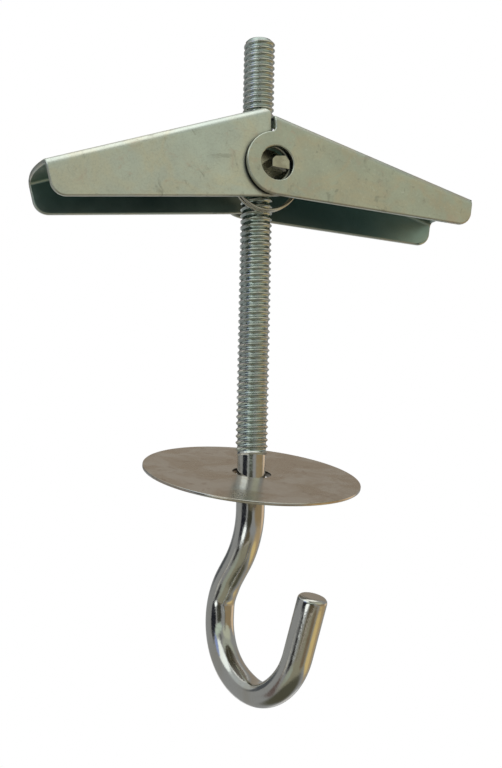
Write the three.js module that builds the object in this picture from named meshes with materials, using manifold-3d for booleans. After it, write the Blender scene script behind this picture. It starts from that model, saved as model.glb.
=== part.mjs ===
// Spring toggle hook: a threaded rod with a hook at its lower end, two sprung wings on a cross nut,
// and a loose disc that covers the hole. Millimetres, +Z up along the rod.
// The origin is where the rod's axis meets the nut's pivot line.
// The wings spread along X, and the pivots lie on Y.

import * as THREE from 'three';
import { mergeVertices } from 'three/addons/utils/BufferGeometryUtils.js';
import Module from 'manifold-3d';

const wasm = await Module();
wasm.setup();

const degrees = THREE.MathUtils.degToRad;

// ---------------------------------------------------------------- driving dimensions

// rod and hook, one length of wire with a rolled 1/4"-20 thread
const threadDiameter = 6.35;
const threadTop = 28.1; // height of the rod's upper end
const threadFoot = -56.8; // height where the thread runs out
const threadRunOut = 0.6; // length of the cone from the thread down to the shank
const rodEndChamfer = 0.7;
const wireDiameter = 5.6;

const crankStart = -67.9; // height where the shank begins to bend
const crankRadius = 16.4; // first bend, away from the hook's mouth
const crankAngle = 38.3;
const crankStraight = 3.0;
const bowlRadius = 13.2; // the bowl's back and bottom
const bowlAngle = 124.3;
const throatRadius = 11.1; // the tighter end of the bowl, below the arm
const throatAngle = 75.3;
const armLength = 10.7;
const armEndRounding = 0.9;
const hookAzimuth = -73.4; // direction of the arm from the rod, turned about Z from +X
const hookLean = 1.5; // the hook's plane leans sideways by this much below the shank

// cover disc
const discDiameter = 42.8;
const discThickness = 0.6;
const discHoleClearance = 1.0; // around the wire
const discHeight = -60.6; // where its middle hangs on the shank
const discTilt = 17.5;
const discLeanAzimuth = -95.7; // the side that hangs low
const discShift = 0.4; // towards the low side, until the hole's far edge meets the shank

// wings, pressed from one blank into two channels, the narrow one inside the wide one
const sheet = 1.0;
const bendRadius = 0.8; // inside the bend
const leftWingWidth = 15.4; // the inner wing
const wingGap = 0.25; // between the nested flanges
const leftWingLength = 45.3; // from the pivot hole to the tip, along the wing
const rightWingLength = 44.8;
const eyeRadius = 6.4;
const eyeHoleRadius = 3.4;
const bottomSlope = 4.3; // the flange's lower edge
const webAboveEye = 3.7; // the outer wing's web stands this far above its eye, clear of the inner wing's eye
const webStep = 0.97; // the inner wing's web passes this far over the outer one's
const webSlopeLeft = 17.9;
const webSlopeRight = 17.1;
const tipCornerRadius = 3.0;
const tipLean = 6.0; // the tip's edge leans this far from square to the web, its foot further out
const hingeReliefRadius = 0.9; // fillet between the eye and the flange's end
const webCornerCutLeft = 1.5;
const webCornerCutRight = 0.5;
const webSlotClearance = 0.9; // around the rod, in the slot of each web
const webSlotEndClearance = 1.2; // beyond the rod, at the slot's closed end
const leftHoleOffset = 0.1; // play of each wing on its lugs, along X
const rightHoleOffset = 0.65;
const stopPlane = 0.4; // where the two wings meet when they are open
const stopGap = 0.3;
const leftDroop = 3.1; // how far each wing hangs or lifts from its drawn slope
const rightLift = 3.1;

// cross nut
const nutThreadClearance = 0.2;
const nutWall = 1.15; // beside the threaded hole
const nutHalfHeight = 3.85;
const nutFlangeGap = 2.0; // between the nut's body and the inner wing's flanges
const nutEdgeChamfer = 0.5;
const lugWidth = 3.8;
const lugBottom = -0.85; // the lug's underside, below the pivot line
const lugTopNear = 1.35; // height of its top on the left
const lugTopFar = 1.75; // and on the right
const lugCornerCut = 0.7; // along each side of its upper left corner
const lugFarCut = 0.9; // and of its upper right corner
const lugAside = 0.6; // the lugs stand this far to the right of the threaded hole
const lugSetBack = 0.15; // the lug's end lies this far inside the outer wing's face
const nutYaw = 5.6; // turn of the nut on the rod, within the play of the holes

// torsion spring
const springWire = 0.6;
const springRadius = 6.75; // middle of the wire
const springTurns = 2;
const springCentreX = -0.3;
const springNutGap = 0.55; // between the coil and the top of the nut it hangs on
const springRodGap = 0.32;
const springFlangeGap = 0.2;
const springArmReach = 12.6; // how far each arm reaches along the wing
const springArmGap = 0.3; // between an arm's end and the web above it

// how finely round shapes are divided
const roundSides = 32;
const wireSides = 20;
const hookSteps = 64;
const springSides = 8;
const springStepsPerTurn = 28;
const bendSteps = 8;

// ---------------------------------------------------------------- sizes that follow

const rightWingWidth = leftWingWidth + 2 * (sheet + wingGap);
const flangeInside = leftWingWidth / 2 - sheet;
const wireRadius = wireDiameter / 2;
const threadRadius = threadDiameter / 2;
const outerBend = bendRadius + sheet;
const webHeightRight = eyeRadius + webAboveEye; // outside of the web above the pivot hole
const webHeightLeft = webHeightRight + sheet + webStep;
const nutBore = threadRadius + nutThreadClearance;
const nutHalfWidth = nutBore + nutWall;
const nutHalfLength = flangeInside - nutFlangeGap;
const springDrop = springRadius - springWire / 2 - nutHalfHeight - springNutGap; // of the coil's middle
const springFirstY = -(threadRadius + springRodGap + springWire / 2);
const springLastY = -(flangeInside - springFlangeGap - springWire / 2);
const springPitch = (springFirstY - springLastY) / springTurns;

// ---------------------------------------------------------------- solids

/** A closed geometry as a manifold solid. */
function solid(geometry) {
  const bare = geometry.clone();
  bare.deleteAttribute('normal');
  bare.deleteAttribute('uv');
  const merged = mergeVertices(bare, 1e-5);
  return new wasm.Manifold(new wasm.Mesh({
    numProp: 3,
    vertProperties: new Float32Array(merged.attributes.position.array),
    triVerts: new Uint32Array(merged.index.array),
  }));
}

/** A manifold solid as a named mesh. */
function meshOf(shape, name, material) {
  const { vertProperties, triVerts } = shape.getMesh();
  const geometry = new THREE.BufferGeometry();
  geometry.setAttribute('position', new THREE.BufferAttribute(new Float32Array(vertProperties), 3));
  geometry.setIndex(new THREE.BufferAttribute(new Uint32Array(triVerts), 1));
  const flat = geometry.toNonIndexed();
  flat.computeVertexNormals();
  const mesh = new THREE.Mesh(flat, material);
  mesh.name = name;
  return mesh;
}

/** An outline drawn in XZ, made a solid that is centred on Y. */
function slabAcrossY(shape, width, curveSegments = roundSides) {
  const geometry = new THREE.ExtrudeGeometry(shape, { depth: width, bevelEnabled: false, curveSegments });
  geometry.rotateX(Math.PI / 2);
  geometry.translate(0, width / 2, 0);
  return solid(geometry);
}

/** A round bar along Y, centred on the origin. */
function barAlongY(radius, length) {
  return solid(new THREE.CylinderGeometry(radius, radius, length, roundSides));
}

/** A solid turned about Z from a profile of radius and height that starts and ends on the axis. */
function turned(profile, sides = roundSides) {
  const geometry = new THREE.LatheGeometry(profile.map(([r, z]) => new THREE.Vector2(r, z)), sides);
  geometry.rotateX(Math.PI / 2);
  return solid(geometry);
}

/** A wire of round section along a curve. */
function wireAlong(path, radius, sides, steps) {
  const section = new THREE.Shape();
  for (let i = 0; i < sides; i++) {
    const a = (i / sides) * 2 * Math.PI;
    const [x, y] = [radius * Math.cos(a), radius * Math.sin(a)];
    if (i === 0) section.moveTo(x, y);
    else section.lineTo(x, y);
  }
  section.closePath();
  return solid(new THREE.ExtrudeGeometry(section, { extrudePath: path, steps, bevelEnabled: false }));
}

// ---------------------------------------------------------------- hook rod

/** The centre line of the shank and hook, in the hook's own plane, as arcs that follow one another. */
class HookLine extends THREE.Curve {
  constructor() {
    super();
    this.stretches = [
      { length: threadFoot - crankStart - threadRunOut, radius: 0 },
      { length: crankRadius * degrees(crankAngle), radius: -crankRadius },
      { length: crankStraight, radius: 0 },
      { length: bowlRadius * degrees(bowlAngle), radius: bowlRadius },
      { length: throatRadius * degrees(throatAngle), radius: throatRadius },
      { length: armLength, radius: 0 },
    ];
    this.total = this.stretches.reduce((sum, s) => sum + s.length, 0);
  }

  /** Where the line is, and its heading from straight down, at a distance from its start. */
  at(distance) {
    let left = distance;
    let heading = 0;
    let across = 0;
    let height = threadFoot - threadRunOut;
    for (const { length, radius } of this.stretches) {
      const run = Math.min(left, length);
      const turn = radius === 0 ? 0 : run / radius;
      const middle = heading + turn / 2;
      const chord = radius === 0 ? run : 2 * Math.abs(radius * Math.sin(turn / 2));
      across += chord * Math.sin(middle);
      height -= chord * Math.cos(middle);
      heading += turn;
      left -= run;
      if (left <= 0) break;
    }
    return { across, height, heading };
  }

  getPoint(t, target = new THREE.Vector3()) {
    const { across, height } = this.at(t * this.total);
    return target.set(across, 0, height);
  }
}

function makeHookRod() {
  const line = new HookLine();
  const wire = wireAlong(line, wireRadius, wireSides, hookSteps);

  const thread = turned([
    [0, threadFoot - threadRunOut - wireRadius],
    [wireRadius, threadFoot - threadRunOut - wireRadius],
    [wireRadius, threadFoot - threadRunOut],
    [threadRadius, threadFoot],
    [threadRadius, threadTop - rodEndChamfer],
    [threadRadius - rodEndChamfer, threadTop],
    [0, threadTop],
  ]);

  // the arm's end: a short plug with a rounded rim
  const end = line.at(line.total);
  const rim = [];
  for (let i = 0; i <= bendSteps; i++) {
    const a = (i / bendSteps) * Math.PI / 2;
    rim.push([
      wireRadius - armEndRounding + armEndRounding * Math.cos(a),
      armEndRounding * Math.sin(a),
    ]);
  }
  const plug = turned([[0, -wireRadius], [wireRadius, -wireRadius], ...rim, [0, armEndRounding]], wireSides)
    .rotate([0, 180 - THREE.MathUtils.radToDeg(end.heading), 0])
    .translate([end.across, 0, end.height]);

  const slope = Math.tan(degrees(hookLean));
  const leaned = wire.add(thread).add(plug).warp((point) => {
    point[1] += Math.min(point[2] - crankStart, 0) * slope;
  });
  return leaned.rotate([0, 0, hookAzimuth]);
}

// ---------------------------------------------------------------- cover disc

function makeCoverDisc() {
  const hole = wireRadius + discHoleClearance;
  const rim = discDiameter / 2;
  const geometry = new THREE.LatheGeometry([
    new THREE.Vector2(hole, -discThickness / 2),
    new THREE.Vector2(rim, -discThickness / 2),
    new THREE.Vector2(rim, discThickness / 2),
    new THREE.Vector2(hole, discThickness / 2),
    new THREE.Vector2(hole, -discThickness / 2),
  ], 2 * roundSides);
  geometry.rotateX(Math.PI / 2);
  return solid(geometry);
}

// ---------------------------------------------------------------- wings

/** The side of a flange: eye, lower edge, rounded tip and open top, as wide as the channel's web needs. */
function flangeOutline(length, webSlope, webHeight, hingeEnd, cornerCut) {
  const below = degrees(bottomSlope);
  const above = degrees(webSlope);
  const clear = 5; // the outline runs this far past the web, which the channel's section trims
  const outline = new THREE.Shape();

  // the tip's edge starts at the wing's length on the web, and stands nearly square to it
  const tip = new THREE.Vector2(length, webHeight - length * Math.tan(above));
  const lean = above - degrees(tipLean);
  const tipDown = new THREE.Vector2(-Math.sin(lean), -Math.cos(lean));
  const edge = new THREE.Vector2(Math.cos(below), -Math.sin(below));
  const tangent = new THREE.Vector2(-Math.sin(below), -Math.cos(below)).multiplyScalar(eyeRadius);

  // sharp corner of the lower edge and the tip's edge, then the ends of its rounding
  const cross = tipDown.x * edge.y - tipDown.y * edge.x;
  const gap = tangent.clone().sub(tip);
  const along = (gap.x * edge.y - gap.y * edge.x) / cross;
  const corner = tip.clone().addScaledVector(tipDown, along);
  const opening = Math.acos(tipDown.dot(edge));
  const set = tipCornerRadius / Math.tan(opening / 2);
  const before = corner.clone().addScaledVector(edge, -set);
  const after = corner.clone().addScaledVector(tipDown, -set);
  const middle = before.clone().add(new THREE.Vector2(Math.sin(below), Math.cos(below))
    .multiplyScalar(tipCornerRadius));

  // fillet between the eye's top and the flange's upright end
  const filletX = hingeEnd - hingeReliefRadius;
  const filletY = Math.sqrt((eyeRadius + hingeReliefRadius) ** 2 - filletX ** 2);
  const filletAngle = Math.atan2(filletY, filletX);

  const cutHeight = webHeight - hingeEnd * Math.tan(above);
  outline.moveTo(hingeEnd + cornerCut + clear, cutHeight + clear);
  outline.lineTo(hingeEnd, cutHeight - cornerCut);
  outline.lineTo(hingeEnd, filletY);
  outline.absarc(filletX, filletY, hingeReliefRadius, 0, filletAngle + Math.PI, true);
  outline.absarc(0, 0, eyeRadius, filletAngle, 1.5 * Math.PI - below, false);
  outline.lineTo(before.x, before.y);
  outline.absarc(middle.x, middle.y, tipCornerRadius, -Math.PI / 2 - below,
    Math.atan2(after.y - middle.y, after.x - middle.x), false);
  outline.lineTo(tip.x - clear * tipDown.x, tip.y - clear * tipDown.y);
  outline.closePath();
  return outline;
}

/** The channel's section, web up and legs down, with its bends. */
function channelSection(width, legs) {
  const half = width / 2;
  const section = new THREE.Shape();
  section.moveTo(-half, -legs);
  section.lineTo(-half, -outerBend);
  section.absarc(-half + outerBend, -outerBend, outerBend, Math.PI, Math.PI / 2, true);
  section.lineTo(half - outerBend, 0);
  section.absarc(half - outerBend, -outerBend, outerBend, Math.PI / 2, 0, true);
  section.lineTo(half, -legs);
  section.lineTo(half - sheet, -legs);
  section.lineTo(half - sheet, -outerBend);
  section.absarc(half - outerBend, -outerBend, bendRadius, 0, Math.PI / 2, false);
  section.lineTo(-half + outerBend, -sheet);
  section.absarc(-half + outerBend, -outerBend, bendRadius, Math.PI / 2, Math.PI, false);
  section.lineTo(-half + sheet, -legs);
  section.closePath();
  return section;
}

/** One wing, pointing along +X with its pivot hole on the Y axis. */
function makeWing(width, length, webSlope, webHeight, hingeEnd, cornerCut) {
  const legs = 3 * eyeRadius + webHeight;
  const before = 2 * eyeRadius + webHeight;
  const channel = new THREE.ExtrudeGeometry(channelSection(width, legs), {
    depth: length + 2 * before,
    bevelEnabled: false,
    curveSegments: bendSteps,
  });
  // the section's own axes become Y and Z, and its length runs out along the sloping web
  channel.rotateX(Math.PI / 2);
  channel.rotateZ(Math.PI / 2);
  channel.translate(-before, 0, 0);
  channel.rotateY(degrees(webSlope));
  channel.translate(0, 0, webHeight);

  const outline = flangeOutline(length, webSlope, webHeight, hingeEnd, cornerCut);
  const hole = barAlongY(eyeHoleRadius, 2 * width);
  const slotHalf = threadRadius + webSlotClearance;
  const slotEnd = threadRadius + webSlotEndClearance - slotHalf;
  const slot = new THREE.Shape();
  slot.moveTo(-before, -slotHalf);
  slot.lineTo(slotEnd, -slotHalf);
  slot.absarc(slotEnd, 0, slotHalf, -Math.PI / 2, Math.PI / 2, false);
  slot.lineTo(-before, slotHalf);
  slot.closePath();
  const slotCut = solid(new THREE.ExtrudeGeometry(slot, {
    depth: 2 * webHeight,
    bevelEnabled: false,
    curveSegments: roundSides / 2,
  }));

  return solid(channel)
    .intersect(slabAcrossY(outline, 2 * width, roundSides / 2))
    .subtract(hole)
    .subtract(slotCut);
}

// ---------------------------------------------------------------- cross nut

function makeTrunnionNut() {
  // the body: a flattened barrel across the rod
  const body = new THREE.Shape();
  body.absellipse(0, 0, nutHalfWidth, nutHalfHeight, 0, 2 * Math.PI, false, 0);
  const barrel = slabAcrossY(body, 2 * nutHalfLength, roundSides);
  const past = 1; // the cutter runs this far out of the nut
  const mouth = nutBore + nutEdgeChamfer + past;
  const threadHole = turned([
    [0, -nutHalfHeight - past],
    [mouth, -nutHalfHeight - past],
    [nutBore, -nutHalfHeight + nutEdgeChamfer],
    [nutBore, nutHalfHeight - nutEdgeChamfer],
    [mouth, nutHalfHeight + past],
    [0, nutHalfHeight + past],
  ]);

  // the lugs: one four-sided bar across the nut, a corner cut off, its top a little steeper than level
  const [near, far] = [lugAside - lugWidth / 2, lugAside + lugWidth / 2];
  const lug = new THREE.Shape();
  lug.moveTo(near, lugBottom);
  lug.lineTo(far, lugBottom);
  lug.lineTo(far, lugTopFar - lugFarCut);
  lug.lineTo(far - lugFarCut, lugTopFar);
  lug.lineTo(near + lugCornerCut, lugTopNear);
  lug.lineTo(near, lugTopNear - lugCornerCut);
  lug.closePath();
  const lugs = slabAcrossY(lug, rightWingWidth - 2 * lugSetBack);

  return barrel.add(lugs).subtract(threadHole);
}

// ---------------------------------------------------------------- torsion spring

/** Height of a web's underside above a place on the X axis, when the wing is open. */
function webUnderside(x, holeOffset, webHeight, slope) {
  const outside = webHeight - (x - holeOffset) * Math.tan(degrees(slope));
  return outside - sheet / Math.cos(degrees(slope));
}

/** The spring's wire: in along one arm, round the coil and out along the other arm. */
class SpringLine extends THREE.Curve {
  constructor() {
    super();
    const arm = springWire / 2 + springArmGap;
    const top = springRadius - springDrop;
    const reach = springArmReach;
    this.top = top;
    this.leftEnd = webUnderside(reach, -leftHoleOffset, webHeightLeft, webSlopeLeft + leftDroop) - arm;
    this.rightEnd = webUnderside(reach, rightHoleOffset, webHeightRight, webSlopeRight - rightLift) - arm;
    this.armShare = reach / (2 * reach + springTurns * 2 * Math.PI * springRadius);
  }

  getPoint(t, target = new THREE.Vector3()) {
    if (t < this.armShare) {
      const s = t / this.armShare; // from the left arm's end to the coil
      const x = THREE.MathUtils.lerp(-springArmReach, springCentreX, s);
      return target.set(x, springFirstY, THREE.MathUtils.lerp(this.leftEnd, this.top, s));
    }
    if (t > 1 - this.armShare) {
      const s = (t - 1 + this.armShare) / this.armShare;
      const x = THREE.MathUtils.lerp(springCentreX, springArmReach, s);
      return target.set(x, springLastY, THREE.MathUtils.lerp(this.top, this.rightEnd, s));
    }
    const s = (t - this.armShare) / (1 - 2 * this.armShare);
    const a = Math.PI / 2 - s * springTurns * 2 * Math.PI;
    return target.set(
      springCentreX + springRadius * Math.cos(a),
      springFirstY - s * springTurns * springPitch,
      -springDrop + springRadius * Math.sin(a),
    );
  }
}

function makeTorsionSpring() {
  const line = new SpringLine();
  const coilShare = 1 - 2 * line.armShare;
  const steps = Math.round((springTurns * springStepsPerTurn) / coilShare);
  return wireAlong(line, springWire / 2, springSides, steps);
}

// ---------------------------------------------------------------- the assembly

const zinc = (color, roughness) => new THREE.MeshStandardMaterial({ color, metalness: 1, roughness });

const toggleHook = new THREE.Group();

toggleHook.add(meshOf(makeHookRod(), 'hook_rod', zinc(0xa9aaa2, 0.28)));

const coverDisc = meshOf(makeCoverDisc(), 'cover_disc', zinc(0xb5aa97, 0.22));
const lean = degrees(discLeanAzimuth);
coverDisc.position.set(discShift * Math.cos(lean), discShift * Math.sin(lean), discHeight);
const leanAxis = new THREE.Vector3(-Math.sin(lean), Math.cos(lean), 0);
coverDisc.quaternion.setFromAxisAngle(leanAxis, degrees(discTilt));
toggleHook.add(coverDisc);

const trunnionNut = meshOf(makeTrunnionNut(), 'trunnion_nut', zinc(0xa8a08c, 0.4));
trunnionNut.rotation.z = degrees(nutYaw);
toggleHook.add(trunnionNut);

// each wing is drawn pointing along +X; the left one is turned half round about the rod
const leftSide = new THREE.Group();
leftSide.rotation.z = Math.PI;
leftSide.position.x = leftHoleOffset;
const leftHingeEnd = leftHoleOffset - stopPlane + stopGap / 2;
const leftWing = meshOf(
  makeWing(leftWingWidth, leftWingLength, webSlopeLeft, webHeightLeft, leftHingeEnd, webCornerCutLeft),
  'left_wing',
  zinc(0xa7ac9c, 0.38),
);
leftWing.rotation.y = degrees(leftDroop);
leftSide.add(leftWing);
toggleHook.add(leftSide);

const rightHingeEnd = stopPlane + stopGap / 2 - rightHoleOffset;
const rightWing = meshOf(
  makeWing(rightWingWidth, rightWingLength, webSlopeRight, webHeightRight, rightHingeEnd, webCornerCutRight),
  'right_wing',
  zinc(0xaaae9d, 0.38),
);
rightWing.rotation.y = -degrees(rightLift);
rightWing.position.x = rightHoleOffset;
toggleHook.add(rightWing);

toggleHook.add(meshOf(makeTorsionSpring(), 'torsion_spring', zinc(0x9a9a90, 0.3)));

export default toggleHook;
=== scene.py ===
"""Spring toggle hook: fine surfaces, finishes, studio and camera around its fixed frame.

Lengths are written in millimetres and turned into metres by MM. +Z runs up the rod, the wings
spread along X, and the nut's lugs lie along Y. The origin is where the rod crosses the lugs.
Points nearer to each other than WELD or FINE_WELD count as one, and points nearer to a cut than
ON_PLANE lie on it.
"""

from __future__ import annotations

import logging
import math
from collections.abc import Callable
from dataclasses import dataclass, field
from enum import Enum

import bmesh
import bpy
from mathutils import Matrix, Vector

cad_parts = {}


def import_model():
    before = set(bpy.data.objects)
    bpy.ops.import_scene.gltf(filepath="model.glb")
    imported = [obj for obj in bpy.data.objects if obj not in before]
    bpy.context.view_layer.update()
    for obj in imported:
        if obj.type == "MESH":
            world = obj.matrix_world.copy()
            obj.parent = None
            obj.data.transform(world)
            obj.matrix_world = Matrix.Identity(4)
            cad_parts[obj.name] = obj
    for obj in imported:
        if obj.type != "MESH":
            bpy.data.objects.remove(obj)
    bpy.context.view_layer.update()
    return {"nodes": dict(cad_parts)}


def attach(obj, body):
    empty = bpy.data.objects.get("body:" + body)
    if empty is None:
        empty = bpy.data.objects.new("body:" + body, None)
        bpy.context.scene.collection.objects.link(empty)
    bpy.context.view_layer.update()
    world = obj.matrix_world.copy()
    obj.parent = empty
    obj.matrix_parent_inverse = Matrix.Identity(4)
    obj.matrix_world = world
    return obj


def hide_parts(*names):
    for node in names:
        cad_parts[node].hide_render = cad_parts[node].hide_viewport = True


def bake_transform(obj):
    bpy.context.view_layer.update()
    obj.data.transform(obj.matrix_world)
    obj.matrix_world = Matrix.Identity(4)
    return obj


MM = 0.001
WELD = 0.002
FINE_WELD = 0.001
ON_PLANE = 0.0005
LOG = logging.getLogger("toggle_hook")
Triple = tuple[float, float, float]
Colour = Triple
Piece = bpy.types.Object
Material = bpy.types.Material
Socket = bpy.types.NodeSocket
Tone = Socket | Colour
Inputs = dict[str | int, Socket | Colour | Vector | float]
ORIGIN = (0.0, 0.0, 0.0)


# ---- the bench


class Part(Enum):
    """What an edit selects."""

    EDGES = "EDGE"
    FACES = "FACE"


class Bench:
    """The operations that every piece is made with."""

    @staticmethod
    def clear() -> None:
        """Leaves nothing selected, in object mode."""
        if bpy.context.object and bpy.context.object.mode != "OBJECT":
            bpy.ops.object.mode_set(mode="OBJECT")
        bpy.ops.object.select_all(action="DESELECT")

    @staticmethod
    def take(piece: Piece) -> None:
        """Makes one piece the only one selected.

        Args:
            piece: the object to work on.
        """
        Bench.clear()
        piece.select_set(True)
        bpy.context.view_layer.objects.active = piece

    @staticmethod
    def name(name: str) -> Piece:
        """Names the object that was just added.

        Args:
            name: the piece's name.

        Returns:
            The active object.
        """
        piece = bpy.context.object
        piece.name = name
        piece.data.name = name
        return piece

    @staticmethod
    def ring(
        name: str, sides: int, radius: float, place: Triple = ORIGIN, turn: float = 0.0
    ) -> Piece:
        """Adds a ring of edges.

        Args:
            name: the object's name.
            sides: how many edges it has.
            radius: its radius in millimetres.
            place: its middle, in millimetres.
            turn: its turn about Y, in degrees.

        Returns:
            The ring, its place and turn put into its mesh.
        """
        Bench.clear()
        bpy.ops.mesh.primitive_circle_add(
            vertices=sides,
            radius=radius * MM,
            fill_type="NOTHING",
            location=[value * MM for value in place],
            rotation=(0, math.radians(turn), 0),
        )
        piece = Bench.name(name)
        Bench.place(piece)
        return piece

    @staticmethod
    def edit(piece: Piece) -> None:
        """Opens a piece in edit mode with nothing selected.

        Args:
            piece: the object to edit.
        """
        Bench.take(piece)
        bpy.ops.object.mode_set(mode="EDIT")
        bpy.ops.mesh.select_all(action="DESELECT")

    @staticmethod
    def pick(part: Part, test: Callable[[Vector, Vector], bool]) -> None:
        """Selects the parts of the mesh being edited that pass a test.

        Args:
            part: edges or faces.
            test: takes a part's middle in millimetres, and its direction or normal.
        """
        bpy.ops.mesh.select_mode(type=part.value)
        bpy.ops.mesh.select_all(action="DESELECT")
        mesh = bmesh.from_edit_mesh(bpy.context.object.data)
        if part is Part.EDGES:
            for edge in mesh.edges:
                start, end = (vert.co / MM for vert in edge.verts)
                edge.select_set(test((start + end) / 2, (end - start).normalized()))
        else:
            for face in mesh.faces:
                face.select_set(test(face.calc_center_median() / MM, face.normal))
        mesh.select_flush_mode()
        bmesh.update_edit_mesh(bpy.context.object.data)

    @staticmethod
    def weld(distance: float = WELD) -> None:
        """Merges the vertices of the mesh being edited that lie close together.

        Args:
            distance: how close, in millimetres.
        """
        bpy.ops.mesh.select_all(action="SELECT")
        bpy.ops.mesh.remove_doubles(threshold=distance * MM)

    @staticmethod
    def reshape(rule: Callable[[Vector], Vector]) -> None:
        """Moves every vertex of the mesh being edited by a rule, in millimetres.

        Args:
            rule: takes a vertex's place and gives its new one.
        """
        mesh = bmesh.from_edit_mesh(bpy.context.object.data)
        for vert in mesh.verts:
            vert.co = rule(vert.co / MM) * MM
        bmesh.update_edit_mesh(bpy.context.object.data)

    @staticmethod
    def close_edit() -> None:
        """Merges doubles, turns the faces outwards and leaves edit mode."""
        Bench.weld()
        bpy.ops.mesh.normals_make_consistent(inside=False)
        Bench.clear()

    @staticmethod
    def place(piece: Piece) -> None:
        """Puts a piece's place, turn and size into its mesh.

        Args:
            piece: the object, left at the origin.
        """
        Bench.take(piece)
        bpy.ops.object.transform_apply(location=True, rotation=True, scale=True)

    @staticmethod
    def modify(piece: Piece, kind: str, **settings: object) -> None:
        """Adds a modifier to a piece and applies it.

        Args:
            piece: the object.
            kind: the modifier's type.
            settings: its properties.
        """
        modifier = piece.modifiers.new(kind, kind)
        for key, value in settings.items():
            setattr(modifier, key, value)
        Bench.take(piece)
        bpy.ops.object.modifier_apply(modifier=modifier.name)

    @staticmethod
    def smooth(piece: Piece, angle: float) -> None:
        """Shades a piece smooth, except where its faces meet sharply.

        Args:
            piece: the object.
            angle: the least angle that stays sharp, in degrees.
        """
        Bench.take(piece)
        bpy.ops.object.shade_smooth_by_angle(angle=math.radians(angle))

    @staticmethod
    def soften(
        piece: Piece, width: float, segments: int, angle: float = 30.0, clamp: bool = True
    ) -> None:
        """Rounds the sharp edges of a piece and shades it smooth.

        Args:
            piece: the object.
            width: the rounding's width in millimetres.
            segments: how many strips make the rounding.
            angle: the least angle between faces that counts as sharp, in degrees.
            clamp: whether the width gives way where edges are short.
        """
        Bench.modify(
            piece,
            "BEVEL",
            width=width * MM,
            segments=segments,
            limit_method="ANGLE",
            angle_limit=math.radians(angle),
            use_clamp_overlap=clamp,
        )
        Bench.smooth(piece, angle + 10)
        Bench.modify(piece, "WEIGHTED_NORMAL", weight=100, keep_sharp=True)

    @staticmethod
    def copy_of(node: Piece, name: str, flat: float = 0.6) -> Piece:
        """Copies a frame node as a welded mesh of large flat faces.

        Args:
            node: the node, which is left as it is.
            name: the copy's name.
            flat: the angle between faces that are joined into one, in degrees.

        Returns:
            The copy, with its own mesh and no parent.
        """
        Bench.take(node)
        bpy.ops.object.duplicate()
        piece = Bench.name(name)
        piece.parent = None
        for key in list(piece.keys()):
            del piece[key]
        piece.data.materials.clear()
        Bench.edit(piece)
        Bench.weld(FINE_WELD)
        bpy.ops.mesh.dissolve_limited(angle_limit=math.radians(flat))
        Bench.clear()
        return piece


# ---- finishes


class Wiring:
    """Adds nodes to a tree and joins them."""

    def __init__(self, tree: bpy.types.NodeTree) -> None:
        """Starts with an empty tree.

        Args:
            tree: the tree, which is cleared.
        """
        self.tree = tree
        self.tree.nodes.clear()

    def fill(self, node: bpy.types.Node, given: Inputs) -> None:
        """Joins a node's inputs to sockets, or sets them to numbers, colours or directions.

        Args:
            node: the node.
            given: what its inputs take, by name or number.
        """
        for key, value in given.items():
            if isinstance(value, Socket):
                self.tree.links.new(value, node.inputs[key])
            else:
                plain = (*value, 1.0) if isinstance(value, tuple) else value
                node.inputs[key].default_value = plain

    def add(self, kind: str, given: Inputs | None = None, **settings: object) -> bpy.types.Node:
        """Adds a node.

        Args:
            kind: the node's type.
            given: what its inputs take.
            settings: its properties.

        Returns:
            The node.
        """
        node = self.tree.nodes.new(kind)
        for key, value in settings.items():
            setattr(node, key, value)
        self.fill(node, given or {})
        return node

    def maths(self, kind: str, *given: Socket | float) -> Socket:
        """One step of arithmetic.

        Args:
            kind: the operation.
            given: sockets and numbers, in the operation's order.

        Returns:
            The result.
        """
        node = self.add("ShaderNodeMath", dict(enumerate(given)), operation=kind)
        return node.outputs["Value"]

    def span(
        self, value: Socket, low: float, high: float, to_low: float = 0.0, to_high: float = 1.0
    ) -> Socket:
        """Maps a range of values smoothly onto another, held at its ends.

        Args:
            value: what is mapped.
            low: the value that becomes to_low.
            high: the value that becomes to_high.
            to_low: the result at low.
            to_high: the result at high.

        Returns:
            The mapped value.
        """
        given = {"From Min": low, "From Max": high, "To Min": to_low, "To Max": to_high}
        given["Value"] = value
        node = self.add("ShaderNodeMapRange", given, interpolation_type="SMOOTHSTEP")
        return node.outputs["Result"]

    def blend(self, amount: Socket, first: Tone, second: Tone) -> Socket:
        """Mixes two colours.

        Args:
            amount: how much of the second.
            first: a colour or a socket.
            second: a colour or a socket.

        Returns:
            The mixed colour.
        """
        given = {0: amount, 6: first, 7: second}
        return self.add("ShaderNodeMix", given, data_type="RGBA").outputs[2]


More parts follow.
